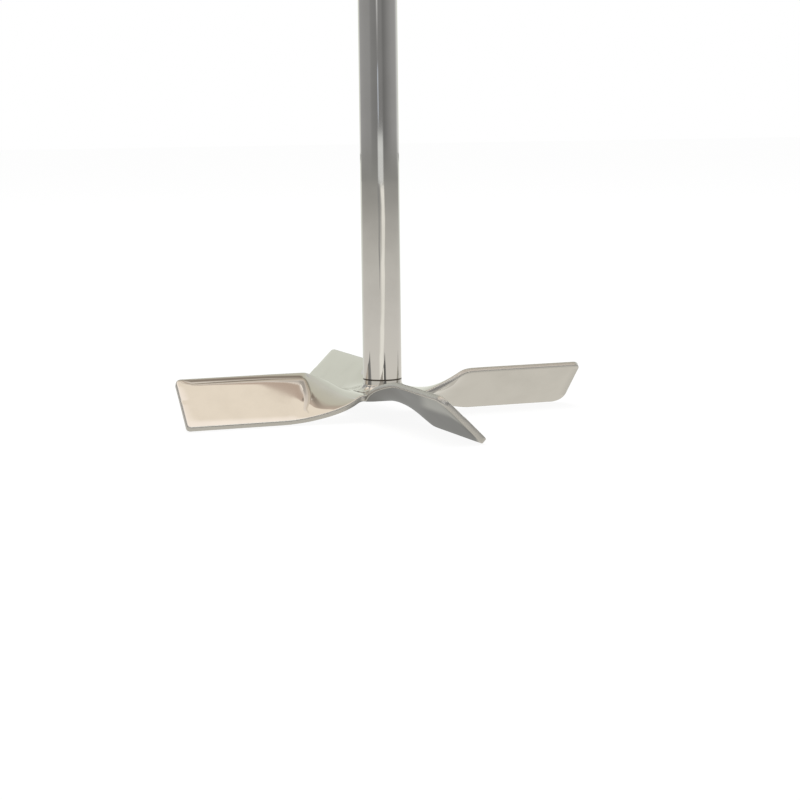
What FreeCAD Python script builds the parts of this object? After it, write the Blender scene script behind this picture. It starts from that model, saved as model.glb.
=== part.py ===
"""Stirring propeller: four pitched blades in one twisted sheet, on a round polished shaft.

The part stands on the lower edges of its blades, with the floor at Z = 0 and the shaft's axis
on Z. The propeller is one cross of sheet steel: a flat hub, and four arms of constant width
that are twisted just outside the hub until each blade is pitched. Seen from above, each
blade's upper edge leads when the shaft turns clockwise, so the blades push down. The sheet
was twisted by hand, so the arms differ a little in how and where their twist ends. The shaft's
turned end passes through the hub and is flush under it, and its shoulder seats on the hub.
A hollow weld runs round the foot of the shaft and bites a little into it.
"""

import FreeCAD
import Part
import Sketcher
import math
import os

from FreeCAD import Placement, Rotation, Vector

PARTS_FOLDER = "parts"

# Driving dimensions, in millimetres and degrees.
DIMENSIONS = [
    ("shaft_diameter", 8.0, "polished round bar"),
    ("shaft_length", 300.0, "from the hub's upper face to the top end"),
    ("shaft_chamfer", 0.8, "at the top end"),
    ("spigot_diameter", 5.0, "turned end that passes through the hub"),
    ("spigot_clearance", 0.03, "between the turned end and the hub's hole, on the radius"),
    ("blade_span", 86.4, "from tip to tip"),
    ("blade_width", 12.6, "of each arm of the cross"),
    ("sheet_thickness", 1.5, "of the sheet"),
    ("pitch_angle", 45.0, "of each blade from level"),
    ("crotch_radius", 0.8, "inside corners between two arms"),
    ("hub_margin", 0.1, "flat left between a crotch corner and the start of the twist"),
    ("twist_length", 10.8, "of the twisted neck, along the middle of the arm"),
    ("right_skew", 12.0, "of the line where the twist ends, from square across the arm"),
    ("back_skew", 12.0, "the same, on the back arm"),
    ("left_skew", 21.6, "the same, on the left arm"),
    ("front_skew", -10.0, "the same, on the front arm"),
    ("right_evenness", 1.0, "of the twist along the arm; below 1 it is quicker near the hub"),
    ("back_evenness", 0.7, "the same, on the back arm"),
    ("left_evenness", 0.5, "the same, on the left arm"),
    ("front_evenness", 0.3, "the same, on the front arm"),
    ("upper_corner_radius", 2.0, "tip corner on the blade's upper edge"),
    ("lower_corner_radius", 0.8, "tip corner on the blade's lower edge"),
    ("ground_corner_radius", 2.8, "lower tip corner of the blade that was ground rounder"),
    ("weld_height", 1.3, "of the weld, up the shaft"),
    ("weld_reach", 2.1, "of the weld, out from the shaft"),
    ("weld_toe", 0.12, "thickness of the weld where it meets the shaft and the hub"),
    ("weld_bite", 0.4, "of the weld into the shaft, at the shoulder"),
    ("weld_hollow", 0.8, "radius of the weld's hollow face, as a share of its slant"),
]

TWIST_STEPS = 6
SEAM_TOLERANCE = 1e-4

# Lengths that follow from the driving ones, written for the document's own expressions.
HUB_REACH = (
    "(max(Sizes.blade_width / 2 + Sizes.crotch_radius; Sizes.shaft_diameter / 2"
    " + Sizes.weld_reach) + Sizes.hub_margin)"
)
TWIST_END = f"({HUB_REACH} + Sizes.twist_length)"
WELD_SLANT = "hypot(Sizes.weld_reach; Sizes.weld_height)"
HUB_HEIGHT = (
    "(Sizes.blade_width / 2 * sin(Sizes.pitch_angle * 1deg)"
    " + Sizes.sheet_thickness / 2 * cos(Sizes.pitch_angle * 1deg))"
)


def make_sizes(doc):
    """The spreadsheet that holds every driving dimension."""
    sizes = doc.addObject("Spreadsheet::Sheet", "Sizes")
    for row, (alias, value, note) in enumerate(DIMENSIONS, start=1):
        sizes.set(f"A{row}", alias)
        sizes.set(f"B{row}", str(value))
        sizes.set(f"C{row}", note)
        sizes.setAlias(f"B{row}", alias)
    doc.recompute()
    return sizes


def new_body(doc, label):
    """A body whose hub plane is lifted so that the blades' lower edges touch the floor."""
    body = doc.addObject("PartDesign::Body", label)
    body.Label = label
    body.setExpression("Placement.Base.z", HUB_HEIGHT)
    return body


def new_sketch(body, label, role):
    """An empty sketch on one of the body's own origin planes."""
    plane = next(f for f in body.Origin.OriginFeatures if f.Role == role)
    sketch = body.newObject("Sketcher::SketchObject", label)
    sketch.AttachmentSupport = [(plane, "")]
    sketch.MapMode = "FlatFace"
    return sketch


def bind(sketch, name, constraint, expression):
    """Adds a dimension to the sketch and ties it to an expression."""
    index = sketch.addConstraint(constraint)
    sketch.renameConstraint(index, name)
    sketch.setExpression(f"Constraints.{name}", expression)


def closed_outline(sketch, points):
    """Straight edges through the points, joined end to end, as the first edges of a sketch."""
    corners = [Vector(x, y, 0) for x, y in points]
    count = len(corners)
    for start, end in zip(corners, corners[1:] + corners[:1]):
        sketch.addGeometry(Part.LineSegment(start, end), False)
    for edge in range(count):
        sketch.addConstraint(Sketcher.Constraint("Coincident", edge, 2, (edge + 1) % count, 1))


def centred_rectangle(sketch, length, width):
    """A rectangle about the sketch's origin, with its length along the sketch's own X."""
    closed_outline(sketch, [(-2, -1), (2, -1), (2, 1), (-2, 1)])
    for edge, direction in enumerate(["Horizontal", "Vertical", "Horizontal", "Vertical"]):
        sketch.addConstraint(Sketcher.Constraint(direction, edge))
    sketch.addConstraint(Sketcher.Constraint("Symmetric", 0, 1, 2, 1, -1, 1))
    bind(sketch, "length", Sketcher.Constraint("DistanceX", 0, 1, 0, 2, 4.0), length)
    bind(sketch, "width", Sketcher.Constraint("DistanceY", 1, 1, 1, 2, 2.0), width)


def pad_both_ways(body, label, sketch, length):
    """A pad that grows the same distance to each side of its sketch."""
    pad = body.newObject("PartDesign::Pad", label)
    pad.Profile = sketch
    pad.Midplane = True
    pad.setExpression("Length", length)
    return pad


def make_hub(doc):
    """The flat middle of the cross, as far as the twist, with the hole for the shaft's end."""
    body = new_body(doc, "hub")
    for axis, role in enumerate(["along_x", "along_y"]):
        sketch = new_sketch(body, f"hub_strip_{role}", "XY_Plane")
        spans = [f"2 * {HUB_REACH}", "Sizes.blade_width"]
        centred_rectangle(sketch, spans[axis], spans[1 - axis])
        pad_both_ways(body, f"hub_pad_{role}", sketch, "Sizes.sheet_thickness")
    doc.recompute()

    half_width = doc.Sizes.blade_width / 2
    cross = body.Tip
    crotches = [
        f"Edge{number}"
        for number, edge in enumerate(cross.Shape.Edges, start=1)
        if is_upright_at(edge, half_width)
    ]
    rounding = body.newObject("PartDesign::Fillet", "crotch_corners")
    rounding.Base = (cross, crotches)
    rounding.setExpression("Radius", "Sizes.crotch_radius")
    doc.recompute()

    hole_sketch = new_sketch(body, "hub_hole_sketch", "XY_Plane")
    hole_sketch.addGeometry(Part.Circle(Vector(0, 0, 0), Vector(0, 0, 1), 2), False)
    hole_sketch.addConstraint(Sketcher.Constraint("Coincident", 0, 3, -1, 1))
    bind(
        hole_sketch,
        "radius",
        Sketcher.Constraint("Radius", 0, 2.0),
        "Sizes.spigot_diameter / 2 + Sizes.spigot_clearance",
    )
    hole = body.newObject("PartDesign::Pocket", "hub_hole")
    hole.Profile = hole_sketch
    hole.Midplane = True
    hole.setExpression("Length", "2 * Sizes.sheet_thickness")
    return body


def is_upright_at(edge, offset):
    """True for a straight upright edge that stands at the same distance from both axes."""
    start, end = edge.Vertexes[0].Point, edge.Vertexes[-1].Point
    upright = math.hypot(end.x - start.x, end.y - start.y) < SEAM_TOLERANCE
    return (
        upright
        and abs(abs(start.x) - offset) < SEAM_TOLERANCE
        and abs(abs(start.y) - offset) < SEAM_TOLERANCE
    )


def blade_outline(sketch, side, lower_corner):
    """Outline of a blade in its own plane: X runs out to the tip, Y to the lower edge."""
    end_shift = f"Sizes.blade_width / 2 * tan(Sizes.{side}_skew * 1deg)"
    points = [(18, -6), (40, -6), (43, -3), (43, 3), (40, 6), (20, 6)]
    inner_upper, upper_end, upper_tip, lower_tip, lower_end, inner_lower = [
        Vector(x, y, 0) for x, y in points
    ]
    upper_centre, lower_centre = Vector(40, -3, 0), Vector(40, 3, 0)
    quarter = math.pi / 2
    up = Vector(0, 0, 1)
    edges = [
        Part.LineSegment(inner_upper, upper_end),
        Part.ArcOfCircle(Part.Circle(upper_centre, up, 3), -quarter, 0),
        Part.LineSegment(upper_tip, lower_tip),
        Part.ArcOfCircle(Part.Circle(lower_centre, up, 3), 0, quarter),
        Part.LineSegment(lower_end, inner_lower),
        Part.LineSegment(inner_lower, inner_upper),
    ]
    for edge in edges:
        sketch.addGeometry(edge, False)
    upper, corner_up, tip, corner_low, lower, inner = range(len(edges))
    rules = [
        ("Tangent", upper, 2, corner_up, 1),
        ("Tangent", corner_up, 2, tip, 1),
        ("Tangent", tip, 2, corner_low, 1),
        ("Tangent", corner_low, 2, lower, 1),
        ("Coincident", lower, 2, inner, 1),
        ("Coincident", inner, 2, upper, 1),
        ("Horizontal", upper),
        ("Vertical", tip),
        ("Horizontal", lower),
    ]
    for rule in rules:
        sketch.addConstraint(Sketcher.Constraint(*rule))
    dimensions = [
        ("upper_radius", ("Radius", corner_up, 3.0), "Sizes.upper_corner_radius"),
        ("lower_radius", ("Radius", corner_low, 3.0), lower_corner),
        ("tip_reach", ("DistanceX", -1, 1, tip, 1, 43.0), "Sizes.blade_span / 2"),
        ("upper_edge", ("DistanceY", upper, 1, -1, 1, 6.0), "Sizes.blade_width / 2"),
        ("lower_edge", ("DistanceY", -1, 1, lower, 2, 6.0), "Sizes.blade_width / 2"),
        ("inner_upper", ("DistanceX", -1, 1, upper, 1, 18.0), f"{TWIST_END} - {end_shift}"),
        ("inner_lower", ("DistanceX", -1, 1, lower, 2, 20.0), f"{TWIST_END} + {end_shift}"),
    ]
    for name, values, expression in dimensions:
        bind(sketch, name, Sketcher.Constraint(*values), expression)


def neck_section(body, side, step):
    """The sheet's section at one step of the twist, turned a little more at each step.

    The steps lie evenly along the arm, or closer together near the hub where that arm's twist
    is quicker there. The sections lean more and more towards the line where the twist ends.
    """
    share = f"({step} / {TWIST_STEPS})"
    even = f"Sizes.{side}_evenness"
    along = f"({even} * {share} + (1 - {even}) * {share} ^ 2)"
    skew = f"atan(tan(Sizes.{side}_skew * 1deg) * {share} ^ 3)"
    sketch = new_sketch(body, f"{body.Label}_section_{step}", "YZ_Plane")
    centred_rectangle(sketch, f"Sizes.blade_width / cos({skew})", "Sizes.sheet_thickness")
    sketch.setExpression("AttachmentOffset.Base.z", f"{HUB_REACH} + Sizes.twist_length * {along}")
    sketch.setExpression("AttachmentOffset.Rotation.Yaw", f"-Sizes.pitch_angle * 1deg * {share}")
    sketch.setExpression("AttachmentOffset.Rotation.Pitch", f"-{skew}")
    return sketch


def make_arm(doc, side, azimuth, lower_corner):
    """One arm of the cross outside the hub: the twisted neck, then the flat pitched blade."""
    body = new_body(doc, f"blade_{side}")
    body.Placement = Placement(Vector(0, 0, 0), Rotation(Vector(0, 0, 1), azimuth))
    sections = [neck_section(body, side, step) for step in range(TWIST_STEPS + 1)]
    neck = body.newObject("PartDesign::AdditiveLoft", f"{side}_neck")
    neck.Profile = sections[0]
    neck.Sections = sections[1:]

    outline = new_sketch(body, f"{side}_outline", "XY_Plane")
    outline.setExpression("AttachmentOffset.Rotation.Roll", "-Sizes.pitch_angle * 1deg")
    blade_outline(outline, side, lower_corner)
    pad_both_ways(body, f"{side}_pad", outline, "Sizes.sheet_thickness")
    return body


def make_propeller(doc):
    """The whole sheet: the hub and its four arms as one piece."""
    blades = [
        ("right", 0, "Sizes.ground_corner_radius"),
        ("back", 90, "Sizes.lower_corner_radius"),
        ("left", 180, "Sizes.lower_corner_radius"),
        ("front", 270, "Sizes.lower_corner_radius"),
    ]
    hub = make_hub(doc)
    arms = [make_arm(doc, side, azimuth, corner) for side, azimuth, corner in blades]
    sheet = doc.addObject("Part::MultiFuse", "sheet")
    sheet.Shapes = [hub, *arms]
    sheet.Refine = True
    sheet.Label = "propeller"
    return sheet


def profile_edges(sketch, points):
    """A closed profile for turning, whose straight edges all run along or across the axis."""
    closed_outline(sketch, points)
    for edge, (start, end) in enumerate(zip(points, points[1:] + points[:1])):
        if start[0] == end[0]:
            sketch.addConstraint(Sketcher.Constraint("Vertical", edge))
        elif start[1] == end[1]:
            sketch.addConstraint(Sketcher.Constraint("Horizontal", edge))


def revolve(body, label, sketch):
    """A full turn of the profile about the sketch's upright axis."""
    turned = body.newObject("PartDesign::Revolution", label)
    turned.Profile = sketch
    turned.ReferenceAxis = (sketch, ["V_Axis"])
    turned.Angle = 360
    return turned


def make_shaft(doc):
    """Round bar with a shouldered end that fits the hub's hole, and a chamfered top."""
    body = new_body(doc, "shaft")
    sketch = new_sketch(body, "shaft_profile", "XZ_Plane")
    points = [(0, -1), (2, -1), (2, 1), (3.5, 1), (4, 3), (4, 90), (3, 91), (0, 91)]
    profile_edges(sketch, points)
    foot, spigot, shoulder, bite, bar, chamfer, top, axis = range(len(points))
    half_sheet = "Sizes.sheet_thickness / 2"
    dimensions = [
        ("axis_on_centre", ("DistanceX", -1, 1, axis, 1, 0.0), None),
        ("foot_depth", ("DistanceY", foot, 1, -1, 1, 1.0), half_sheet),
        ("spigot_radius", ("DistanceX", foot, 1, foot, 2, 2.0), "Sizes.spigot_diameter / 2"),
        ("shoulder_height", ("DistanceY", -1, 1, shoulder, 1, 1.0), half_sheet),
        ("bite_width", ("DistanceX", bite, 1, bite, 2, 0.5), "Sizes.weld_bite"),
        ("bite_height", ("DistanceY", bite, 1, bite, 2, 2.0), "Sizes.weld_height"),
        ("bar_radius", ("DistanceX", -1, 1, bar, 1, 4.0), "Sizes.shaft_diameter / 2"),
        ("chamfer_width", ("DistanceX", chamfer, 2, chamfer, 1, 1.0), "Sizes.shaft_chamfer"),
        ("chamfer_height", ("DistanceY", chamfer, 1, chamfer, 2, 1.0), "Sizes.shaft_chamfer"),
        ("length", ("DistanceY", shoulder, 1, top, 1, 90.0), "Sizes.shaft_length"),
    ]
    for name, values, expression in dimensions:
        constraint = Sketcher.Constraint(*values)
        if expression is None:
            sketch.addConstraint(constraint)
        else:
            bind(sketch, name, constraint, expression)
    revolve(body, "shaft_turning", sketch)
    return body


def make_weld(doc):
    """Ring of weld with a hollow face, between the bitten foot of the shaft and the hub."""
    body = new_body(doc, "weld_fillet")
    sketch = new_sketch(body, "weld_profile", "XZ_Plane")
    corners = [(3.5, 1), (6, 1), (6, 1.1), (4.1, 3), (4, 3)]
    inside_foot, outside_foot, outside_toe, upper_toe, inside_top = [
        Vector(x, y, 0) for x, y in corners
    ]
    hollow_circle = Part.Circle(Vector(6.4, 3.4, 0), Vector(0, 0, 1), 2.33)
    edges = [
        Part.LineSegment(inside_foot, outside_foot),
        Part.LineSegment(outside_foot, outside_toe),
        Part.ArcOfCircle(hollow_circle, math.radians(190), math.radians(260)),
        Part.LineSegment(upper_toe, inside_top),
        Part.LineSegment(inside_top, inside_foot),
    ]
    for edge in edges:
        sketch.addGeometry(edge, False)
    foot, outer, face, top, inner = range(len(edges))
    rules = [
        ("Coincident", foot, 2, outer, 1),
        ("Coincident", outer, 2, face, 2),
        ("Coincident", face, 1, top, 1),
        ("Coincident", top, 2, inner, 1),
        ("Coincident", inner, 2, foot, 1),
        ("Horizontal", foot),
        ("Vertical", outer),
        ("Horizontal", top),
    ]
    for rule in rules:
        sketch.addConstraint(Sketcher.Constraint(*rule))
    dimensions = [
        ("shaft_radius", ("DistanceX", -1, 1, inner, 1, 4.0), "Sizes.shaft_diameter / 2"),
        ("bite", ("DistanceX", inner, 2, inner, 1, 0.5), "Sizes.weld_bite"),
        ("foot_height", ("DistanceY", -1, 1, foot, 1, 1.0), "Sizes.sheet_thickness / 2"),
        ("reach", ("DistanceX", inner, 1, foot, 2, 2.0), "Sizes.weld_reach"),
        ("height", ("DistanceY", foot, 1, top, 1, 2.0), "Sizes.weld_height"),
        ("lower_toe", ("DistanceY", outer, 1, outer, 2, 0.1), "Sizes.weld_toe"),
        ("upper_toe", ("DistanceX", top, 2, top, 1, 0.1), "Sizes.weld_toe"),
        ("hollow", ("Radius", face, 2.4), f"Sizes.weld_hollow * {WELD_SLANT}"),
    ]
    for name, values, expression in dimensions:
        bind(sketch, name, Sketcher.Constraint(*values), expression)
    revolve(body, "weld_turning", sketch)
    return body


def check(doc, pieces):
    """Stops the script if anything in the document failed, or a piece isn't one sound solid."""
    for item in doc.Objects:
        if "Invalid" in item.State or "Error" in item.State:
            raise RuntimeError(f"{item.Label} failed: {item.State}")
    for piece in pieces:
        shape = piece.Shape
        if shape.isNull() or not shape.isValid() or len(shape.Solids) != 1:
            raise RuntimeError(f"{piece.Label} isn't one valid solid")


def main():
    doc = FreeCAD.newDocument("stirring_propeller")
    make_sizes(doc)
    pieces = [make_shaft(doc), make_propeller(doc), make_weld(doc)]
    doc.recompute()
    check(doc, pieces)
    os.makedirs(PARTS_FOLDER, exist_ok=True)
    for piece in pieces:
        piece.Shape.exportStep(os.path.join(PARTS_FOLDER, f"{piece.Label}.step"))
        box = piece.Shape.BoundBox
        size = f"{box.XLength:.2f} x {box.YLength:.2f} x {box.ZLength:.2f} mm"
        print(f"{piece.Label}: {size}, lowest Z {box.ZMin:.3f}, volume {piece.Shape.Volume:.1f}")


main()
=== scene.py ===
import math

import bmesh
import bpy
from mathutils import Matrix, Vector


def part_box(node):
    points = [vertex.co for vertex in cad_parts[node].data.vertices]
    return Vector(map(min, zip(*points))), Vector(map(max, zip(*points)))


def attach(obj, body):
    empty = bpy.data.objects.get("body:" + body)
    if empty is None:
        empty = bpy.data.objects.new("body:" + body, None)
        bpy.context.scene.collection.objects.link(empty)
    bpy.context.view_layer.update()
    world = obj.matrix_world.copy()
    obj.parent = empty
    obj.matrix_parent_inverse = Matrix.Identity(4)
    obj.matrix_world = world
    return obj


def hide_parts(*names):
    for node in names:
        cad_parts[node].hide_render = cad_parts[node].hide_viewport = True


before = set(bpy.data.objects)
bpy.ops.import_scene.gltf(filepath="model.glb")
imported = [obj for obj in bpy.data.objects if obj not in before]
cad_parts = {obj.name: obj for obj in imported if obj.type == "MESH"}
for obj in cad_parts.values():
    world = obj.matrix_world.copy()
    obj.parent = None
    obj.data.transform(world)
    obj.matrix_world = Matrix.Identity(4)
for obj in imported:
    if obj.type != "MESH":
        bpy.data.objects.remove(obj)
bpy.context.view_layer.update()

# Stirring propeller on its polished shaft. Everything is in metres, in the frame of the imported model.

shaftLow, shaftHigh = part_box("shaft")
_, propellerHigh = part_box("propeller")
weldLow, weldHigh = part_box("weld_fillet")

hubTop = weldLow.z  # the weld stands on the hub
hubUnderside = shaftLow.z  # the shaft's end is flush with it
hubMiddle = (hubTop + hubUnderside) / 2


# Meshes and objects

def finishMesh(name, bm, material):  # a smooth object at the origin, made from a bmesh
    bmesh.ops.recalc_face_normals(bm, faces=bm.faces)
    mesh = bpy.data.meshes.new(name)
    bm.to_mesh(mesh)
    bm.free()
    mesh.shade_smooth()
    mesh.materials.append(material)
    made = bpy.data.objects.new(name, mesh)
    bpy.context.scene.collection.objects.link(made)
    return made


def addPiece(name, bm, material, node):  # a piece of the object, in the place of a CAD node
    piece = finishMesh(name, bm, material)
    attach(piece, "root")
    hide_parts(node)
    print(f"{name}: {len(piece.data.polygons)} faces")


def spinProfile(bm, points, steps):  # turns a profile of (radius, height) points about the shaft's axis
    corners = [bm.verts.new((radius, 0, height)) for radius, height in points]
    edges = [bm.edges.new(pair) for pair in zip(corners, corners[1:])]
    bmesh.ops.spin(
        bm, geom=corners + edges, cent=(0, 0, 0), axis=(0, 0, 1), dvec=(0, 0, 0),
        angle=2 * math.pi, steps=steps, use_merge=True,
    )
    bmesh.ops.remove_doubles(bm, verts=bm.verts, dist=1e-7)


def bevelEdges(bm, edges, offset, segments):
    bmesh.ops.bevel(
        bm, geom=edges, offset=offset, offset_type="OFFSET", segments=segments,
        profile=0.5, affect="EDGES", material=-1,
    )


# Nodes, and the groups of nodes shared by the materials

def newGroup(name, inputs, outputs):
    group = bpy.data.node_groups.new(name, "ShaderNodeTree")
    for title, kind, default in inputs:
        socket = group.interface.new_socket(title, in_out="INPUT", socket_type=kind)
        if default is not None:
            socket.default_value = default
    for title, kind in outputs:
        group.interface.new_socket(title, in_out="OUTPUT", socket_type=kind)
    return group, group.nodes.new("NodeGroupInput"), group.nodes.new("NodeGroupOutput")


def noiseNode(nodes, scale, detail, roughness=0.5):
    noise = nodes.new("ShaderNodeTexNoise")
    noise.inputs["Scale"].default_value = scale
    noise.inputs["Detail"].default_value = detail
    noise.inputs["Roughness"].default_value = roughness
    return noise


def rangeNode(nodes, fromLow, fromHigh, toLow=0.0, toHigh=1.0):
    mapped = nodes.new("ShaderNodeMapRange")
    mapped.inputs["From Min"].default_value = fromLow
    mapped.inputs["From Max"].default_value = fromHigh
    mapped.inputs["To Min"].default_value = toLow
    mapped.inputs["To Max"].default_value = toHigh
    return mapped


def mathNode(nodes, links, operation, first, second=0.0, clamp=False):  # each value is a socket or a number
    made = nodes.new("ShaderNodeMath")
    made.operation = operation
    made.use_clamp = clamp
    for socket, value in zip(made.inputs, (first, second)):
        if isinstance(value, bpy.types.NodeSocket):
            links.new(value, socket)
        else:
            socket.default_value = value
    return made.outputs[0]


def mixColors(nodes, links, mask, lower, upper):  # upper where the mask is 1. Each is a socket or a colour
    mix = nodes.new("ShaderNodeMix")
    mix.data_type = "RGBA"
    links.new(mask, mix.inputs["Factor"])
    for title, color in (("A", lower), ("B", upper)):
        if isinstance(color, bpy.types.NodeSocket):
            links.new(color, mix.inputs[title])
        else:
            mix.inputs[title].default_value = (*color, 1)
    return mix.outputs["Result"]


def makePolishLines():  # fine lines left by a polishing wheel, drawn out along the stretched axis
    group, given, result = newGroup(
        "polishLines",
        [("Vector", "NodeSocketVector", None), ("Stretch", "NodeSocketVector", (1, 1, 1))],
        [("Height", "NodeSocketFloat")],
    )
    nodes, links = group.nodes, group.links
    stretched = nodes.new("ShaderNodeVectorMath")
    stretched.operation = "MULTIPLY"
    fine = noiseNode(nodes, 1.0, 3.0, 0.6)
    links.new(given.outputs["Vector"], stretched.inputs[0])
    links.new(given.outputs["Stretch"], stretched.inputs[1])
    links.new(stretched.outputs[0], fine.inputs["Vector"])
    links.new(fine.outputs["Fac"], result.inputs["Height"])
    return group


def makeHandling():  # faint cloudy marks of handling and wiping
    group, given, result = newGroup(
        "handling",
        [("Vector", "NodeSocketVector", None), ("Size", "NodeSocketFloat", 120.0)],
        [("Mask", "NodeSocketFloat"), ("Waviness", "NodeSocketFloat")],
    )
    nodes, links = group.nodes, group.links
    clouds = noiseNode(nodes, 120.0, 4.0, 0.55)
    swell = noiseNode(nodes, 60.0, 0.5)
    mask = rangeNode(nodes, 0.45, 0.75)
    links.new(given.outputs["Vector"], clouds.inputs["Vector"])
    links.new(given.outputs["Size"], clouds.inputs["Scale"])
    links.new(given.outputs["Vector"], swell.inputs["Vector"])
    links.new(clouds.outputs["Fac"], mask.inputs["Value"])
    links.new(mask.outputs["Result"], result.inputs["Mask"])
    links.new(swell.outputs["Fac"], result.inputs["Waviness"])
    return group


def makeSquareFade():  # 1 in the middle of a UV square, falling to 0 at its sides
    group, given, result = newGroup(
        "squareFade",
        [("Vector", "NodeSocketVector", None), ("Softness", "NodeSocketFloat", 0.2)],
        [("Mask", "NodeSocketFloat")],
    )
    nodes, links = group.nodes, group.links
    parts = nodes.new("ShaderNodeSeparateXYZ")
    links.new(given.outputs["Vector"], parts.inputs["Vector"])
    sides = []
    for axis in ("X", "Y"):
        rise = rangeNode(nodes, 0, 0.5)
        rise.interpolation_type = "SMOOTHSTEP"
        links.new(mathNode(nodes, links, "PINGPONG", parts.outputs[axis], 0.5), rise.inputs["Value"])
        links.new(given.outputs["Softness"], rise.inputs["From Max"])
        sides.append(rise.outputs["Result"])
    links.new(mathNode(nodes, links, "MULTIPLY", *sides), result.inputs["Mask"])
    return group


polishLines = makePolishLines()
handling = makeHandling()
squareFade = makeSquareFade()


def polishedSteel(name, look, uvMap=None, rimLook=None):  # a material of bare polished stainless steel
    material = bpy.data.materials.new(name)
    material.use_nodes = True
    nodes, links = material.node_tree.nodes, material.node_tree.links
    steel = nodes["Principled BSDF"]
    steel.inputs["Metallic"].default_value = 1.0
    if uvMap:
        place = nodes.new("ShaderNodeUVMap")
        place.uv_map = uvMap
        where = place.outputs["UV"]
    else:
        where = nodes.new("ShaderNodeTexCoord").outputs["Object"]
    lines = nodes.new("ShaderNodeGroup")
    lines.node_tree = polishLines
    lines.inputs["Stretch"].default_value = look["lineStretch"]
    marks = nodes.new("ShaderNodeGroup")
    marks.node_tree = handling
    marks.inputs["Size"].default_value = look["markSize"]
    links.new(where, lines.inputs["Vector"])
    links.new(where, marks.inputs["Vector"])

    rough = rangeNode(nodes, 0, 1, look["roughness"], look["markedRoughness"])
    links.new(marks.outputs["Mask"], rough.inputs["Value"])
    roughness = rough.outputs["Result"]
    color = mixColors(nodes, links, marks.outputs["Mask"], look["color"], look["markedColor"])
    if rimLook:  # another look where the mesh's own "rim" value is above 0: the sheet's cut edges, and on the bar a painted dark line of shade
        rim = nodes.new("ShaderNodeAttribute")
        rim.attribute_name = "rim"
        color = mixColors(nodes, links, rim.outputs["Fac"], color, rimLook["color"])
        rimRough = nodes.new("ShaderNodeMix")
        rimRough.inputs["B"].default_value = rimLook["roughness"]
        links.new(rim.outputs["Fac"], rimRough.inputs["Factor"])
        links.new(roughness, rimRough.inputs["A"])
        roughness = rimRough.outputs["Result"]
    links.new(color, steel.inputs["Base Color"])
    links.new(roughness, steel.inputs["Roughness"])

    swell = nodes.new("ShaderNodeBump")
    swell.inputs["Strength"].default_value = 1.0
    swell.inputs["Distance"].default_value = look["waviness"]
    grain = nodes.new("ShaderNodeBump")
    grain.inputs["Strength"].default_value = 1.0
    grain.inputs["Distance"].default_value = look["lineDepth"]
    links.new(marks.outputs["Waviness"], swell.inputs["Height"])
    links.new(lines.outputs["Height"], grain.inputs["Height"])
    links.new(swell.outputs["Normal"], grain.inputs["Normal"])
    links.new(grain.outputs["Normal"], steel.inputs["Normal"])
    return material


# Shaft: polished round bar, with a turned end through the hub and a chamfered top

shaft = {
    "chamfer": 0.0008,
    "spigotRadius": 0.0025,
    "edgeRounding": 0.00012,
    "edgeSegments": 3,
    "sharpAngle": 0.5,  # edges that turn by more than this many radians are rounded
    "steps": 192,
    "support": 0.0003,  # how near an edge the long side is divided, so that its shading stays straight
    "paintedLineHeight": 0.00117,  # height above the bead of the top of a dark line painted round the bar: painted shade where the toe of the real, taller weld meets the bar
    "paintedLineThickness": 0.00028,  # height of that painted line
    "paintedLineBlend": 0.00004,  # height over which the painted line goes over into the bar above and the band below
    "paintedBandShare": 0.12,  # how much of the painted line's look the band below it, down to the bead, has
    # the painted shade line's look: dark and rough
    "paintedShadeLook": {"color": (0.08, 0.07, 0.06), "roughness": 0.35},
    "look": {
        "color": (0.55, 0.54, 0.52),
        "markedColor": (0.50, 0.49, 0.47),
        "roughness": 0.03,
        "markedRoughness": 0.06,
        "lineStretch": (800, 800, 16000),
        "lineDepth": 0.00000008,
        "markSize": 90.0,
        "waviness": 0.000004,
    },
}


def makeShaft(s):
    radius = shaftHigh.x
    paintedLineTop = weldHigh.z + s["paintedLineHeight"]
    lineFoot = paintedLineTop - s["paintedLineThickness"]
    bm = bmesh.new()
    profile = [
        (0, hubUnderside),
        (s["spigotRadius"], hubUnderside),
        (s["spigotRadius"], hubTop),
        (radius, hubTop),
        (radius, hubTop + s["support"]),
        (radius, lineFoot - s["paintedLineBlend"]),
        (radius, lineFoot),
        (radius, paintedLineTop),
        (radius, paintedLineTop + s["paintedLineBlend"]),
        (radius, shaftHigh.z - s["chamfer"] - s["support"]),
        (radius, shaftHigh.z - s["chamfer"]),
        (radius - s["chamfer"], shaftHigh.z),
        (radius - s["chamfer"] - s["support"], shaftHigh.z),
        (0, shaftHigh.z),
    ]
    spinProfile(bm, profile, s["steps"])
    rims = [
        edge for edge in bm.edges
        if len(edge.link_faces) == 2
        and edge.calc_face_angle() > s["sharpAngle"]
        and abs(edge.verts[0].co.z - edge.verts[1].co.z) < 1e-7  # level ones only
    ]
    bevelEdges(bm, rims, s["edgeRounding"], s["edgeSegments"])
    rim = bm.verts.layers.float.new("rim")  # 1 on the painted dark line of shade, less on the band below it
    slack = s["paintedLineBlend"] / 4
    for vert in bm.verts:
        if vert.co.z < paintedLineTop + slack:
            vert[rim] = 1.0 if vert.co.z > lineFoot - slack else s["paintedBandShare"]
    material = polishedSteel("polishedBar", s["look"], rimLook=s["paintedShadeLook"])
    addPiece("polishedShaft", bm, material, "shaft")


makeShaft(shaft)


# Propeller: a flat cross of sheet is rounded, divided finely, and its four arms are twisted

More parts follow.
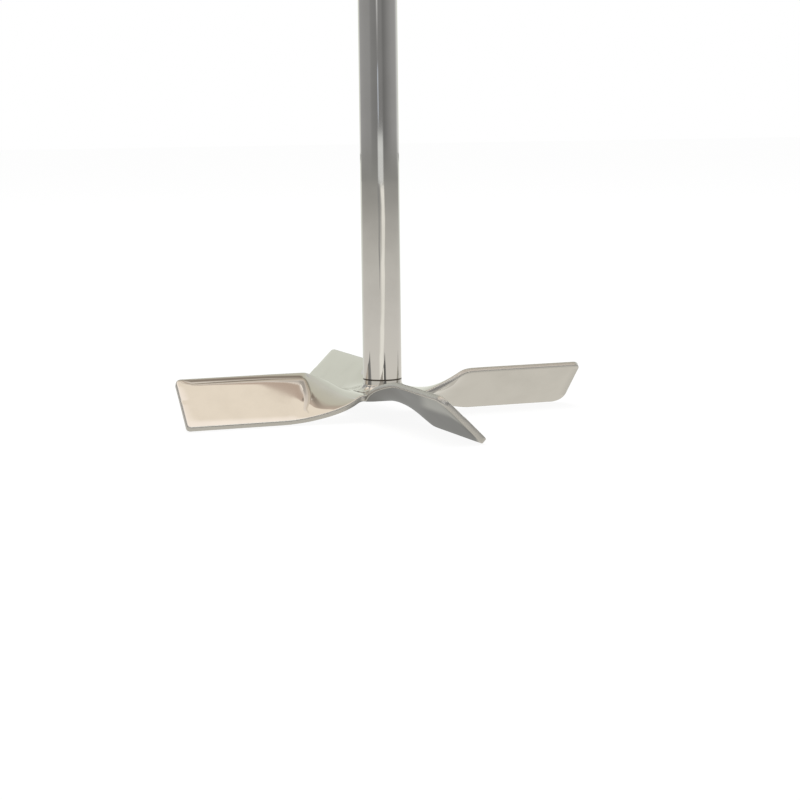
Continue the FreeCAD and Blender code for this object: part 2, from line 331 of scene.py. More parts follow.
propeller = {
    "bladeWidth": 0.0126,
    "pitch": 45.0,
    "twistStart": 0.0072,
    "twistLength": 0.0108,
    "startSoftness": 0.14,  # share of the twist over which it eases in, as the folds are for its end
    # The skew is how far the twist's end leans from square across the arm, in degrees. An evenness below 1
    # makes the twist quicker near the hub.
    "arms": (  # right, back, left and front
        {"skew": 12.0, "evenness": 1.0, "upperFold": 0.20, "lowerFold": 0.15},
        {"skew": 12.0, "evenness": 0.7, "upperFold": 0.10, "lowerFold": 0.15},
        {"skew": 21.6, "evenness": 0.5, "upperFold": 0.05, "lowerFold": 0.16},
        {"skew": -10.0, "evenness": 0.3, "upperFold": 0.10, "lowerFold": 0.20},
    ),
    "lag": 1.3,  # degrees by which the blade's upper edge lags behind its twist, next to the fold
    "lagLength": 0.007,
    "crotchRadius": 0.0008,
    "crotchBlend": 0.0015,
    "upperCorner": 0.0013,
    "lowerCorner": 0.0008,
    "groundCorner": 0.0028,  # the right blade's lower corner, ground rounder than the others
    "frontCorner": 0.0022,  # the front blade's upper corner, rounder too
    "cornerSegments": 12,
    "smallCornerSegments": 8,
    "edgeRounding": 0.0003,
    "edgeSegments": 3,
    "rollOff": 0.0024,  # width over which polishing has eased the faces down towards the edges
    "rollDepth": 0.15,  # how far, as a share of half the thickness
    "upperRollDepth": 0.27,  # on the top face, along each blade's upper edge
    "undersideRim": (1.5, 0.6),  # width of the underside's dull border, in edge roundings, and its dullness
    "holeRadius": 0.00253,
    "holeOpening": 1.35,  # half the square opened for the hole, as a share of its radius
    "neckStep": 0.00022,  # distance between two cuts where the arms twist
    "neckMargins": (0.0003, 0.004),  # how far those cuts go on before the twist and past it
    "bladeStep": 0.0012,
    "acrossStep": 0.00045,
    "look": {
        "color": (0.56, 0.545, 0.52),
        "markedColor": (0.52, 0.505, 0.48),
        "roughness": 0.03,
        "markedRoughness": 0.06,
        "lineStretch": (900, 16000, 900),
        "lineDepth": 0.00000008,
        "markSize": 110.0,
        "waviness": 0.000012,
    },
    "rimLook": {"color": (0.46, 0.45, 0.43), "roughness": 0.36},
}


def cutCross(p, reach):  # the flat cross, with rounded corners and softened edges
    half = p["bladeWidth"] / 2
    bm = bmesh.new()
    outline = []
    for quarter in range(4):
        turn = Matrix.Rotation(quarter * math.pi / 2, 4, "Z")
        for corner in ((reach, -half, 0), (reach, half, 0), (half, half, 0)):
            outline.append(bm.verts.new(turn @ Vector(corner)))
    bm.faces.new(outline)
    raised = bmesh.ops.extrude_face_region(bm, geom=bm.faces[:])["geom"]
    raised = [part for part in raised if isinstance(part, bmesh.types.BMVert)]
    bmesh.ops.translate(bm, verts=raised, vec=(0, 0, hubTop - hubUnderside))
    bmesh.ops.translate(bm, verts=bm.verts, vec=(0, 0, -(hubTop - hubUnderside) / 2))
    bmesh.ops.recalc_face_normals(bm, faces=bm.faces)

    def uprightAt(*places):  # the upright edges nearest to some places of the outline
        upright = [e for e in bm.edges if abs(e.verts[0].co.z - e.verts[1].co.z) > 1e-5]
        return [min(upright, key=lambda e: (e.verts[0].co.xy - Vector(at)).length) for at in places]

    def broadFaces(area):  # the level faces from some area upwards
        return [face for face in bm.faces if abs(face.normal.z) > 0.9 and face.calc_area() >= area]

    many, few = p["cornerSegments"], p["smallCornerSegments"]
    crotches = (half, half), (-half, half), (-half, -half), (half, -half)
    bevelEdges(bm, uprightAt((reach, half)), p["groundCorner"], many)
    bevelEdges(bm, uprightAt((-half, reach), (-reach, -half), (half, -reach)), p["lowerCorner"], few)
    bevelEdges(bm, uprightAt((reach, -half), (half, reach), (-reach, half)), p["upperCorner"], many)
    bevelEdges(bm, uprightAt((-half, -reach)), p["frontCorner"], many)
    bevelEdges(bm, uprightAt(*crotches), p["crotchRadius"], few)
    rims = {edge for face in broadFaces(0) for edge in face.edges}
    bevelEdges(bm, list(rims), p["edgeRounding"], p["edgeSegments"])
    bmesh.ops.inset_individual(
        bm, faces=broadFaces(1e-4), thickness=p["edgeRounding"] / 3, use_even_offset=True,
    )
    return bm


def divideCross(bm, p, reach):  # cuts across and along the arms, close together where they will twist
    half = p["bladeWidth"] / 2
    before, past = p["neckMargins"]
    cuts = []
    place = -half + p["acrossStep"]
    while place < half - p["acrossStep"] / 2:
        cuts.append(place)
        place += p["acrossStep"]
    place = half - before
    while place < p["twistStart"] + p["twistLength"] + past:
        cuts += [place, -place]
        place += p["neckStep"]
    while place < reach - p["upperCorner"]:
        cuts += [place, -place]
        place += p["bladeStep"]
    for cut in cuts:
        for axis in (Vector((1, 0, 0)), Vector((0, 1, 0))):
            bmesh.ops.bisect_plane(
                bm, geom=bm.verts[:] + bm.edges[:] + bm.faces[:], dist=1e-7,
                plane_co=axis * cut, plane_no=axis,
            )


def openHub(bm, p):  # a round hole through the middle of the hub
    square = p["holeRadius"] * p["holeOpening"]
    inside = [
        face for face in bm.faces
        if max(abs(face.calc_center_median().x), abs(face.calc_center_median().y)) < square
    ]
    bmesh.ops.delete(bm, geom=inside, context="FACES")
    rings = []
    for level in (1, -1):
        border = [e for e in bm.edges if e.is_boundary and e.verts[0].co.z * level > 0]
        height = border[0].verts[0].co.z
        made = bmesh.ops.create_circle(
            bm, segments=len(border), radius=p["holeRadius"], matrix=Matrix.Translation((0, 0, height)),
        )
        ring = list({edge for vert in made["verts"] for edge in vert.link_edges})
        bmesh.ops.bridge_loops(bm, edges=border + ring)
        rings += ring
    bmesh.ops.bridge_loops(bm, edges=rings)


def easedShare(share, start, end):  # a share of the twist, held between 0 and 1 with soft ends
    if share < start:
        return max(share + start, 0) ** 2 / (4 * start)
    if share > 1 - end:
        return 1 - max(1 + end - share, 0) ** 2 / (4 * end)
    return share


def insideOutline(point, p, reach):  # how far a point of the flat cross is from its outline
    far, near = max(abs(point.x), abs(point.y)), min(abs(point.x), abs(point.y))
    return min(p["bladeWidth"] / 2 - near, reach - far)


def markRims(bm, p, reach):  # 1 on the cut edges of the sheet, 0 on its polished faces
    rim = bm.verts.layers.float.new("rim")
    face = (hubTop - hubUnderside) / 2 - p["edgeRounding"] * 0.1
    width, dullness = p["undersideRim"]
    for vert in bm.verts:
        inHole = vert.co.xy.length < p["holeRadius"] * 1.01
        beside = vert.co.z < 0 and insideOutline(vert.co, p, reach) < p["edgeRounding"] * width
        vert[rim] = 1.0 if abs(vert.co.z) < face or inHole else dullness * beside


def easeFaces(bm, p, reach):  # the broad faces fall off slightly towards the outline
    for vert in bm.verts:
        x, y, z = vert.co
        far = max(abs(x), abs(y))
        across = y * math.copysign(1, x) if abs(x) > abs(y) else -x * math.copysign(1, y)
        inside = max(insideOutline(vert.co, p, reach), 0)
        depth = p["upperRollDepth"] if z > 0 and across < 0 and far > p["twistStart"] else p["rollDepth"]
        vert.co.z *= 1 - depth * max(1 - inside / p["rollOff"], 0) ** 2


def shareAt(outward, across, arm, p):  # how far the twist has gone at a point of the flat arm
    lean = math.tan(math.radians(arm["skew"]))
    low, high = -0.3, 1.5
    for _ in range(18):  # halving finds it to within 0.00001
        share = (low + high) / 2
        held = min(max(share, 0), 1)
        quickened = held ** 2 + 2 * (share - held) * (share > 1)
        along = arm["evenness"] * share + (1 - arm["evenness"]) * quickened
        place = p["twistStart"] + p["twistLength"] * along + across * lean * held ** 3
        low, high = (share, high) if place < outward else (low, share)
    return share


def twistMove(outward, across, lift, arm, p):  # how far a point of the flat arm moves in the twist
    half = p["bladeWidth"] / 2
    toLower = min(max(across / half, -1), 1) / 2 + 0.5
    fold = arm["upperFold"] + (arm["lowerFold"] - arm["upperFold"]) * toLower
    place = shareAt(outward, across, arm, p)
    share = min(easedShare(place, p["startSoftness"], fold), 1)
    lag = p["lag"] * (1 - toLower) ** 3 * math.exp(-max(place - 1, 0) * p["twistLength"] / p["lagLength"])
    angle = math.radians(p["pitch"] - lag) * share
    newAcross = across * math.cos(angle) + lift * math.sin(angle)
    newLift = lift * math.cos(angle) - across * math.sin(angle)
    return newAcross - across, newLift - lift


def twistArms(bm, p):
    start = p["twistStart"] - p["startSoftness"] * p["twistLength"]
    turns = [Matrix.Rotation(quarter * math.pi / 2, 3, "Z") for quarter in range(4)]
    for vert in bm.verts:
        move = Vector((0, 0, 0))
        for turn, arm in zip(turns, p["arms"]):
            flat = turn.inverted() @ vert.co
            hold = (flat.x - abs(flat.y)) / p["crotchBlend"] + 0.5
            hold = min(max(hold, 0), 1)  # 1 on this arm, 0 on the next
            if flat.x > start and hold > 0:
                across, lift = twistMove(flat.x, flat.y, flat.z, arm, p)
                move += turn @ Vector((0, across, lift)) * hold
        vert.co += move


def makePropeller(p):
    reach = propellerHigh.x
    bm = cutCross(p, reach)
    divideCross(bm, p, reach)
    openHub(bm, p)
    bmesh.ops.remove_doubles(bm, verts=bm.verts, dist=2e-7)
    flatMap = bm.loops.layers.uv.new("flatSheet")
    for face in bm.faces:
        for loop in face.loops:
            loop[flatMap].uv = (loop.vert.co.x + loop.vert.co.z, loop.vert.co.y + loop.vert.co.z)
    markRims(bm, p, reach)
    easeFaces(bm, p, reach)
    twistArms(bm, p)
    bmesh.ops.translate(bm, verts=bm.verts, vec=(0, 0, hubMiddle))
    material = polishedSteel("polishedSheet", p["look"], "flatSheet", p["rimLook"])
    addPiece("twistedPropeller", bm, material, "propeller")


makePropeller(propeller)


# Weld: a hollow ring round the foot of the shaft, with faint ripples

weld = {
    "toe": 0.00012,
    "hollow": 0.8,  # radius of the hollow face, as a share of its slant
    "faceSteps": 12,
    "ripples": 22,
    "rippleDepth": 0.00003,
    "rippleWander": 2.0,  # how far the ripples leave their even spacing, in radians of their wave
    "rippleLean": 900.0,  # and how they lean outwards, in radians per metre
    "rippleRise": 8.0,  # they are full from 1/8 of the bead's width and height
    "steps": 264,
    "look": {
        "color": (0.53, 0.515, 0.49),
        "markedColor": (0.44, 0.42, 0.39),
        "roughness": 0.13,
        "markedRoughness": 0.22,
        "lineStretch": (4000, 4000, 4000),
        "lineDepth": 0.000002,
        "markSize": 500.0,
        "waviness": 0.00003,
    },
}


def makeWeld(w):
    shaftRadius = shaftHigh.x
    height = weldHigh.z - weldLow.z
    reach = weldHigh.x - shaftRadius
    upper = Vector((shaftRadius + w["toe"], weldHigh.z))
    lower = Vector((weldHigh.x, weldLow.z + w["toe"]))
    radius = w["hollow"] * math.hypot(reach, height)
    chord = lower - upper
    away = Vector((-chord.y, chord.x)).normalized()
    centre = (upper + lower) / 2 + away * math.sqrt(radius ** 2 - chord.length_squared / 4)
    first = math.atan2(upper.y - centre.y, upper.x - centre.x)
    last = math.atan2(lower.y - centre.y, lower.x - centre.x)
    last += 2 * math.pi * (last < first)
    turns = [first + (last - first) * step / w["faceSteps"] for step in range(w["faceSteps"] + 1)]
    face = [(centre.x + radius * math.cos(turn), centre.y + radius * math.sin(turn)) for turn in turns]
    profile = [(shaftRadius, weldLow.z), (shaftRadius, weldHigh.z), *face, (weldHigh.x, weldLow.z)]
    bm = bmesh.new()
    spinProfile(bm, profile + profile[:1], w["steps"])
    for vert in bm.verts:
        out = vert.co.xy.length - shaftRadius
        up = vert.co.z - weldLow.z
        share = min(out / reach, up / height)
        if share > 0.01:  # not where the bead lies against the shaft and the hub
            angle = math.atan2(vert.co.y, vert.co.x)
            wander = w["rippleWander"] * math.sin(angle * 3)
            wave = math.cos(w["ripples"] * angle + wander + w["rippleLean"] * out)
            push = w["rippleDepth"] * (wave - 1) * min(share * w["rippleRise"], 1)
            vert.co += Vector((vert.co.x, vert.co.y, 0)).normalized() * push + Vector((0, 0, push))
    addPiece("weldBead", bm, polishedSteel("weldMetal", w["look"]), "weld_fillet")


makeWeld(weld)


# Studio: pale floor, soft lamps, and the cards that the metal reflects. Angles round the object are counted
# from the camera, positive to its right.

camera = {  # fitted to the photograph. Angles are in degrees, and the distance is from the hub's middle.
    "azimuth": -20.5,
    "elevation": 7.6,
    "distance": 0.4156,
    "roll": 0.75,
    "lens": 90.0,
    "shiftX": 0.0218,
    "shiftY": -0.009,
}

studio = {
    "floorColor": (0.86, 0.86, 0.85),
    "floorRoughness": 0.9,
    "floorHalf": 6.0,
    "floorLift": 0.87,  # share of plain white in what the camera and the metal see of the floor
    "floorGlow": 1.04,  # strength of that white
    "layer": 0.00001,  # height between the floor and each card that lies on it
    "fill": 0.9,  # strength of the light from all round
    "keyPower": 9.0,
    "keySize": 1.1,
    "keyPlace": (-0.2, 0.1, 1.3),
}

ceiling = {
    "height": 1.6,
    "halfSize": 2.0,
    "turn": 60.0,  # direction of the bands' gradient, from +X towards +Y
    "bands": (  # place along the gradient, as a share of the height, and colour
        (-0.90, (0.90, 0.87, 0.82)),
        (-0.40, (1.10, 1.04, 0.98)),
        (-0.26, (1.63, 1.50, 1.39)),
        (-0.10, (1.60, 1.46, 1.32)),
        (-0.04, (1.37, 1.23, 1.05)),
        (0.90, (1.37, 1.23, 1.05)),
    ),
    "lampTurn": 39.0,  # the same for the lamp's bands
    "lampEdge": 0.0002,  # width over which the lamp begins
    "lampBands": (  # a lamp's shade, its light side and the room behind it
        (0.1510, (1.35, 1.21, 1.04)),
        (0.1545, (0.86, 0.70, 0.59)),
        (0.175, (0.80, 0.64, 0.53)),
        (0.205, (0.84, 0.69, 0.58)),
        (0.225, (1.24, 1.12, 1.03)),
        (0.270, (1.20, 1.10, 1.00)),
        (0.305, (0.78, 0.69, 0.58)),
        (0.400, (0.86, 0.84, 0.71)),
        (0.900, (0.92, 0.92, 0.84)),
    ),
    "duskBands": (  # the same further along, where the light side has faded out
        (0.1510, (1.35, 1.21, 1.04)),
        (0.1550, (0.86, 0.71, 0.60)),
        (0.240, (0.73, 0.63, 0.53)),
        (0.340, (0.84, 0.81, 0.68)),
        (0.900, (0.92, 0.92, 0.84)),
    ),
    "dusk": (-0.29, -0.22),  # where the one goes over into the other, across the bands
    "seam": {  # a dark line across the bands, which fades out to one side
        "middle": 0.242, "half": 0.07, "fade": (-0.16, 0.18), "color": (0.41, 0.345, 0.285),
    },
    "spotEdge": (0.75, 1.15),  # where an oval starts and ends fading out, as shares of its radius
    "spots": (  # ovals over the bands: a light one beyond the lamp, and its dark knob
        {"centre": (0.262, 0.100), "radius": (0.058, 0.085), "color": (1.22, 1.13, 1.02)},
        {"centre": (0.274, -0.012), "radius": (0.043, 0.052), "color": (0.24, 0.20, 0.17)},
    ),
}

walls = {
    "radius": 1.8,
    "height": 1.6,
    "opening": 42.0,  # half angle left open behind the object, where the white background shows
    "footHeight": 0.05,  # below it the walls take on the shade of the table far away
    "footShade": (0.42, 0.42, 0.40),
    "steps": 96,
    "shades": (  # angle round the object and grey
        (-140, 0.56), (-116, 0.51), (-81, 0.475), (-54, 0.46), (-41, 0.37), (-17, 0.335), (0, 0.36),
        (17, 0.35), (29, 0.27), (41, 0.31), (54, 0.37), (67, 0.42), (81, 0.47), (116, 0.52), (140, 0.95),
    ),
}

table = {
    "reach": 4.0,
    "steps": 64,
    "shades": (  # distance from the object, and colour
        (0.0, (0.95, 0.92, 0.84)), (0.05, (0.955, 0.925, 0.85)), (0.08, (1.0, 0.965, 0.90)),
        (0.20, (0.95, 0.92, 0.87)), (0.48, (0.82, 0.80, 0.75)),
        (1.2, (0.53, 0.52, 0.49)), (2.2, (0.42, 0.42, 0.40)), (4.0, (0.40, 0.40, 0.39)),
    ),
}

wedges = {  # strips on the table: at some distances, the angle to the middle and half the width, in degrees
    "tableDark": {  # a darker line beside the streak, farther off
        "places": ((0.34, -9, 2), (0.60, -9, 6), (1.7, -9, 9)),
        "color": (0.40, 0.40, 0.39), "softness": 0.5,
    },
    "tableStreak": {  # a light's streak
        "places": (
            (0.05, -10, 14), (0.12, -4, 16), (0.20, 3, 16), (0.48, 11, 15), (1.0, 17, 14), (1.7, 12, 15),
        ),
        "color": (1.32, 1.29, 1.20), "softness": 0.32,
    },
    "paleSheet": {  # the pale sheet that runs back from the object
        "places": ((0.02, 180, 45), (4.0, 180, 45)),
        "color": (0.95, 0.97, 0.90), "softness": 0.04,
    },
}

cards = {  # lights and pale things round the object that the metal reflects: angle round the object,
    # distance, lowest and highest point, width, colour and softness of the edges
    "doorGap": {
        "angle": -5.0, "distance": 1.6, "low": 0.115, "high": 0.9, "width": 0.32,
        "color": (2.0, 2.0, 2.0), "softness": 0.25,
    },
    "doorGapLow": {
        "angle": -4.0, "distance": 1.6, "low": 0.060, "high": 0.125, "width": 0.19,
        "color": (0.80, 0.86, 0.96), "softness": 0.2,
    },
    "farStreak": {
        "angle": 6.0, "distance": 1.7, "low": -0.02, "high": 0.062, "width": 1.25,
        "color": (1.05, 1.07, 1.06), "softness": 0.25,
    },
    "frontLight": {
        "angle": 36.0, "distance": 1.2, "low": 0.75, "high": 1.35, "width": 0.6,
        "color": (2.4, 2.4, 2.3), "softness": 0.2,
    },
    "cornerLight": {
        "angle": -12.0, "distance": 1.4, "low": 0.62, "high": 1.50, "width": 1.0,
        "color": (1.45, 1.43, 1.36), "softness": 0.3,
    },
    "cornerSpot": {
        "angle": 28.0, "distance": 0.62, "low": 1.20, "high": 1.58, "width": 0.24,
        "color": (3.0, 2.9, 2.7), "softness": 0.25,
    },
    "rightLight": {
        "angle": 120.0, "distance": 1.7, "low": 0.45, "high": 1.3, "width": 1.2,
        "color": (1.5, 1.5, 1.42), "softness": 0.2,
    },
    "paleBack": {
        "angle": 180.0, "distance": 1.75, "low": 0.0, "high": 1.5, "width": 2.7,
        "color": (0.92, 0.945, 0.85), "softness": 0.05,
    },
}

paintedTableShadows = {  # painted shadow: dark cards on the table standing in for the propeller's own shade, as the blades' undersides show it
    "frontEdgeShade": {
        "centre": (-0.0020, -0.0225), "half": (0.0036, 0.0205),
        "color": (0.50, 0.50, 0.47), "softness": 0.10,
    },
    "frontShade": {
        "centre": (0.0070, -0.0200), "half": (0.0070, 0.0230),
        "color": (0.31, 0.31, 0.30), "softness": 0.08,
    },
    "hubShade": {
        "centre": (0.0030, 0.0070), "half": (0.0125, 0.0230),
        "color": (0.335, 0.335, 0.325), "softness": 0.14,
    },
}


def toCamera(angle):  # turns a mesh made in front of the camera, at -Y, by an angle round the object
    return Matrix.Rotation(math.radians(camera["azimuth"] + angle), 4, "Z")


def seenDirectly(nodes, links):  # 1 for rays from the camera, off metal or through glass
    path = nodes.new("ShaderNodeLightPath").outputs
    straight = mathNode(nodes, links, "ADD", path["Is Camera Ray"], path["Is Glossy Ray"])
    return mathNode(nodes, links, "ADD", straight, path["Is Transmission Ray"], clamp=True)


def makeWorld(st):
    world = bpy.data.worlds.new("paleStudio")
    bpy.context.scene.world = world
    world.use_nodes = True
    nodes, links = world.node_tree.nodes, world.node_tree.links
    nodes.clear()
    fill = nodes.new("ShaderNodeBackground")
    fill.inputs["Strength"].default_value = st["fill"]
    white = nodes.new("ShaderNodeBackground")
    white.inputs["Color"].default_value = (1, 1, 1, 1)
    mix = nodes.new("ShaderNodeMixShader")
    out = nodes.new("ShaderNodeOutputWorld")
    links.new(seenDirectly(nodes, links), mix.inputs["Fac"])
    links.new(fill.outputs[0], mix.inputs[1])
    links.new(white.outputs[0], mix.inputs[2])
    links.new(mix.outputs[0], out.inputs["Surface"])


def makeFloor(st):
    bm = bmesh.new()
    bmesh.ops.create_grid(bm, x_segments=1, y_segments=1, size=st["floorHalf"])
    bmesh.ops.translate(bm, verts=bm.verts, vec=(0, 0, -2 * st["layer"]))
    material = bpy.data.materials.new("paleFloor")
    material.use_nodes = True
    nodes, links = material.node_tree.nodes, material.node_tree.links
    paper = nodes["Principled BSDF"]
    paper.inputs["Base Color"].default_value = (*st["floorColor"], 1)
    paper.inputs["Roughness"].default_value = st["floorRoughness"]
    paper.inputs["Specular IOR Level"].default_value = 0.0
    white = nodes.new("ShaderNodeEmission")
    white.inputs["Strength"].default_value = st["floorGlow"]
    share = mathNode(nodes, links, "MULTIPLY", seenDirectly(nodes, links), st["floorLift"])
    mix = nodes.new("ShaderNodeMixShader")
    links.new(share, mix.inputs["Fac"])
    links.new(paper.outputs[0], mix.inputs[1])
    links.new(white.outputs[0], mix.inputs[2])
    links.new(mix.outputs[0], nodes["Material Output"].inputs["Surface"])
    finishMesh("floorSheet", bm, material)


def addLamp(name, place, size, power):
    light = bpy.data.lights.new(name, "AREA")
    light.shape = "DISK"
    light.size = size
    light.energy = power
    lamp = bpy.data.objects.new(name, light)
    lamp.location = place
    lamp.rotation_euler = (Vector((0, 0, 0.05)) - Vector(place)).to_track_quat("-Z", "Y").to_euler()
    lamp.visible_glossy = False
    bpy.context.scene.collection.objects.link(lamp)


def glowMaterial(name):  # a material that only gives light; its colour comes from the ramp that is added
    material = bpy.data.materials.new(name)
    material.use_nodes = True
    nodes, links = material.node_tree.nodes, material.node_tree.links
    nodes.remove(nodes["Principled BSDF"])
    glow = nodes.new("ShaderNodeEmission")
    links.new(glow.outputs["Emission"], nodes["Material Output"].inputs["Surface"])
    return material, nodes, links, glow


def shadeRamp(nodes, links, value, stops, low, high):  # colours along a value between low and high
    place = rangeNode(nodes, low, high)
    ramp = nodes.new("ShaderNodeValToRGB")
    links.new(value, place.inputs["Value"])
    links.new(place.outputs["Result"], ramp.inputs["Fac"])
    while len(ramp.color_ramp.elements) < len(stops):
        ramp.color_ramp.elements.new(0.5)
    for element, (at, shade) in zip(ramp.color_ramp.elements, stops):
        element.position = (at - low) / (high - low)
        element.color = (*shade, 1) if isinstance(shade, tuple) else (shade, shade, shade, 1)
    return ramp.outputs["Color"]


def addCard(name, bm, material):  # a card that only the metal sees
    card = finishMesh(name, bm, material)
    card.visible_camera = False
    card.visible_diffuse = False
    card.visible_shadow = False


def softGlow(name, color, softness):  # light whose card fades out towards its edges, across its UV square
    material, nodes, links, glow = glowMaterial(name)
    glow.inputs["Color"].default_value = (*color, 1)
    place = nodes.new("ShaderNodeUVMap")
    place.uv_map = "UVMap"
    fade = nodes.new("ShaderNodeGroup")
    fade.node_tree = squareFade
    fade.inputs["Softness"].default_value = softness
    clear = nodes.new("ShaderNodeBsdfTransparent")
    mix = nodes.new("ShaderNodeMixShader")
    links.new(place.outputs["UV"], fade.inputs["Vector"])
    links.new(fade.outputs["Mask"], mix.inputs["Fac"])
    links.new(clear.outputs[0], mix.inputs[1])
    links.new(glow.outputs[0], mix.inputs[2])
    links.new(mix.outputs[0], nodes["Material Output"].inputs["Surface"])
    return material


def makeCards(several):
    for name, c in several.items():
        bm = bmesh.new()
        bm.loops.layers.uv.new("UVMap")
        bmesh.ops.create_grid(bm, x_segments=1, y_segments=1, size=0.5, calc_uvs=True)
        bmesh.ops.scale(bm, vec=(c["width"], c["high"] - c["low"], 1), verts=bm.verts)
        place = Matrix.Translation((0, -c["distance"], (c["high"] + c["low"]) / 2))
        upright = place @ Matrix.Rotation(math.pi / 2, 4, "X")
        bmesh.ops.transform(bm, matrix=toCamera(c["angle"]) @ upright, verts=bm.verts)
        addCard(name, bm, softGlow(name + "Glow", c["color"], c["softness"]))


def makeWedges(several, height):  # only their long sides are soft
    for name, w in several.items():
        bm = bmesh.new()
        uv = bm.loops.layers.uv.new("UVMap")
        rows = []
        for away, angle, spread in w["places"]:
            ends = [toCamera(angle + side * spread) @ Vector((0, -away, height)) for side in (-1, 1)]
            rows.append([bm.verts.new(end) for end in ends])
        for near, far in zip(rows, rows[1:]):
            face = bm.faces.new((near[0], near[1], far[1], far[0]))
            for loop, corner in zip(face.loops, ((0, 0.5), (1, 0.5), (1, 0.5), (0, 0.5))):
                loop[uv].uv = corner
        addCard(name, bm, softGlow(name + "Glow", w["color"], w["softness"]))


def makePaintedTableShadows(several, height, layer):  # each lies one layer above the one before
    for level, (name, s) in enumerate(several.items()):
        bm = bmesh.new()
        bm.loops.layers.uv.new("UVMap")
        bmesh.ops.create_grid(bm, x_segments=1, y_segments=1, size=1, calc_uvs=True)
        bmesh.ops.scale(bm, vec=(*s["half"], 1), verts=bm.verts)
        bmesh.ops.translate(bm, verts=bm.verts, vec=(*s["centre"], height + layer * level))
        addCard(name, bm, softGlow(name + "Glow", s["color"], s["softness"]))


def softDisc(nodes, links, place, disc, edge):  # 1 inside an oval on the ceiling, 0 outside
    moved = nodes.new("ShaderNodeMapping")
    moved.vector_type = "TEXTURE"
    moved.inputs["Location"].default_value = (*disc["centre"], 1)
    moved.inputs["Scale"].default_value = (*disc["radius"], 1)
    away = nodes.new("ShaderNodeVectorMath")
    away.operation = "LENGTH"
    inside = rangeNode(nodes, *edge, 1, 0)
    links.new(place, moved.inputs["Vector"])
    links.new(moved.outputs["Vector"], away.inputs[0])
    links.new(away.outputs["Value"], inside.inputs["Value"])
    return inside.outputs["Result"]


def seamMask(nodes, links, parts, seam):  # 1 along the seam's middle, less towards its end
    off = mathNode(nodes, links, "SUBTRACT", parts.outputs["X"], seam["middle"])
    near = rangeNode(nodes, seam["half"] / 3, seam["half"], 1, 0)
    along = rangeNode(nodes, *seam["fade"], 1, 0)
    links.new(mathNode(nodes, links, "ABSOLUTE", off), near.inputs["Value"])
    links.new(parts.outputs["Y"], along.inputs["Value"])
    return mathNode(nodes, links, "MULTIPLY", near.outputs["Result"], along.outputs["Result"])


def turnedParts(nodes, links, place, turn):  # distances along and across a direction on the ceiling
    turned = nodes.new("ShaderNodeMapping")
    turned.inputs["Rotation"].default_value = (0, 0, math.radians(-turn))
    parts = nodes.new("ShaderNodeSeparateXYZ")
    links.new(place, turned.inputs["Vector"])
    links.new(turned.outputs["Vector"], parts.inputs["Vector"])
    return parts


def makeCeiling(c):
    bm = bmesh.new()
    bmesh.ops.create_grid(bm, x_segments=1, y_segments=1, size=c["halfSize"])
    bmesh.ops.translate(bm, verts=bm.verts, vec=(0, 0, c["height"]))
    material, nodes, links, glow = glowMaterial("ceilingGlow")
    where = nodes.new("ShaderNodeTexCoord")
    shares = nodes.new("ShaderNodeMapping")
    shares.inputs["Scale"].default_value = [1 / c["height"]] * 3
    links.new(where.outputs["Object"], shares.inputs["Vector"])
    place = shares.outputs["Vector"]
    parts = turnedParts(nodes, links, place, c["turn"])
    lampParts = turnedParts(nodes, links, place, c["lampTurn"])

    def ramp(bands, along):
        return shadeRamp(nodes, links, along.outputs["X"], bands, bands[0][0], bands[-1][0])

    dusk = rangeNode(nodes, *c["dusk"])
    links.new(parts.outputs["Y"], dusk.inputs["Value"])
    lampFrom = c["lampBands"][0][0]
    onLamp = rangeNode(nodes, lampFrom, lampFrom + c["lampEdge"])
    links.new(lampParts.outputs["X"], onLamp.inputs["Value"])
    lit, dim = ramp(c["lampBands"], lampParts), ramp(c["duskBands"], lampParts)
    lamp = mixColors(nodes, links, dusk.outputs["Result"], lit, dim)
    color = mixColors(nodes, links, onLamp.outputs["Result"], ramp(c["bands"], parts), lamp)
    for spot in c["spots"]:
        inSpot = softDisc(nodes, links, place, spot, c["spotEdge"])
        color = mixColors(nodes, links, inSpot, color, spot["color"])
    color = mixColors(nodes, links, seamMask(nodes, links, parts, c["seam"]), color, c["seam"]["color"])
    links.new(color, glow.inputs["Color"])
    addCard("ceilingCard", bm, material)


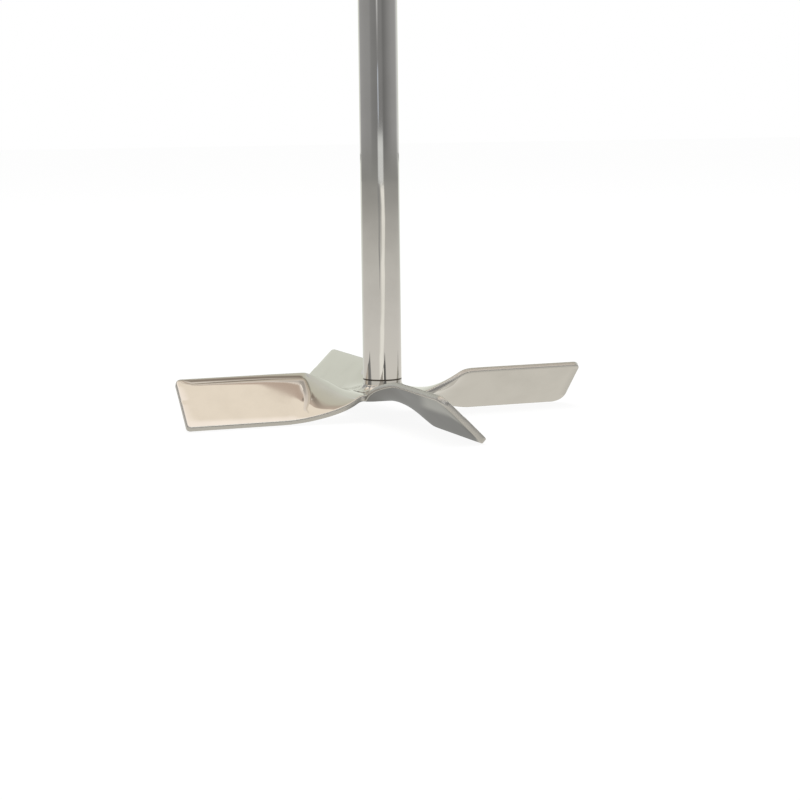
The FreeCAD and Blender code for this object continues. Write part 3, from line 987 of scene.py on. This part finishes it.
def makeWalls(w):
    bm = bmesh.new()
    corners = [bm.verts.new((0, -w["radius"], height)) for height in (0.0, w["height"])]
    edge = bm.edges.new(corners)
    span = 180 - w["opening"]
    bmesh.ops.transform(bm, matrix=toCamera(-span), verts=bm.verts)
    bmesh.ops.spin(
        bm, geom=corners + [edge], cent=(0, 0, 0), axis=(0, 0, 1), dvec=(0, 0, 0),
        angle=math.radians(2 * span), steps=w["steps"],
    )
    material, nodes, links, glow = glowMaterial("wallGlow")
    where = nodes.new("ShaderNodeTexCoord")
    turned = nodes.new("ShaderNodeMapping")
    turned.inputs["Rotation"].default_value = (0, 0, math.radians(90 - camera["azimuth"]))
    around = nodes.new("ShaderNodeTexGradient")
    around.gradient_type = "RADIAL"
    links.new(where.outputs["Object"], turned.inputs["Vector"])
    links.new(turned.outputs["Vector"], around.inputs["Vector"])
    stops = [(angle / 360 + 0.5, shade) for angle, shade in w["shades"]]
    height = nodes.new("ShaderNodeSeparateXYZ")
    foot = rangeNode(nodes, 0, w["footHeight"], 1, 0)
    links.new(where.outputs["Object"], height.inputs["Vector"])
    links.new(height.outputs["Z"], foot.inputs["Value"])
    color = shadeRamp(nodes, links, around.outputs["Fac"], stops, 0, 1)
    color = mixColors(nodes, links, foot.outputs["Result"], color, w["footShade"])
    links.new(color, glow.inputs["Color"])
    addCard("wallCard", bm, material)


def makeTable(t, height):
    bm = bmesh.new()
    bmesh.ops.create_circle(bm, cap_ends=True, segments=t["steps"], radius=t["reach"])
    bmesh.ops.translate(bm, verts=bm.verts, vec=(0, 0, height))
    material, nodes, links, glow = glowMaterial("tableGlow")
    where = nodes.new("ShaderNodeTexCoord")
    away = nodes.new("ShaderNodeVectorMath")
    away.operation = "LENGTH"
    links.new(where.outputs["Object"], away.inputs[0])
    color = shadeRamp(nodes, links, away.outputs["Value"], t["shades"], 0, t["reach"])
    links.new(color, glow.inputs["Color"])
    addCard("tableCard", bm, material)


def makeCamera(c):
    data = bpy.data.cameras.new("photoCamera")
    data.sensor_width = 36.0
    data.lens = c["lens"]
    data.shift_x = c["shiftX"]
    data.shift_y = c["shiftY"]
    data.clip_start = 0.01
    data.clip_end = 50
    around, above = math.radians(c["azimuth"]), math.radians(c["elevation"])
    flat = math.cos(above)
    back = Vector((math.sin(around) * flat, -math.cos(around) * flat, math.sin(above)))
    made = bpy.data.objects.new("photoCamera", data)
    made.location = Vector((0, 0, hubMiddle)) + back * c["distance"]
    aim = (-back).to_track_quat("-Z", "Y").to_matrix()
    made.rotation_euler = (aim @ Matrix.Rotation(math.radians(-c["roll"]), 3, "Z")).to_euler()
    bpy.context.scene.collection.objects.link(made)
    bpy.context.scene.camera = made


makeWorld(studio)
makeFloor(studio)
makeCeiling(ceiling)
makeWalls(walls)
makeTable(table, -studio["layer"])
makeWedges(wedges, studio["layer"])
makePaintedTableShadows(paintedTableShadows, 2 * studio["layer"], studio["layer"])
makeCards(cards)
addLamp("overheadLamp", studio["keyPlace"], studio["keySize"], studio["keyPower"])
makeCamera(camera)
bpy.context.scene.view_settings.view_transform = "Standard"
print("studio and camera are set")
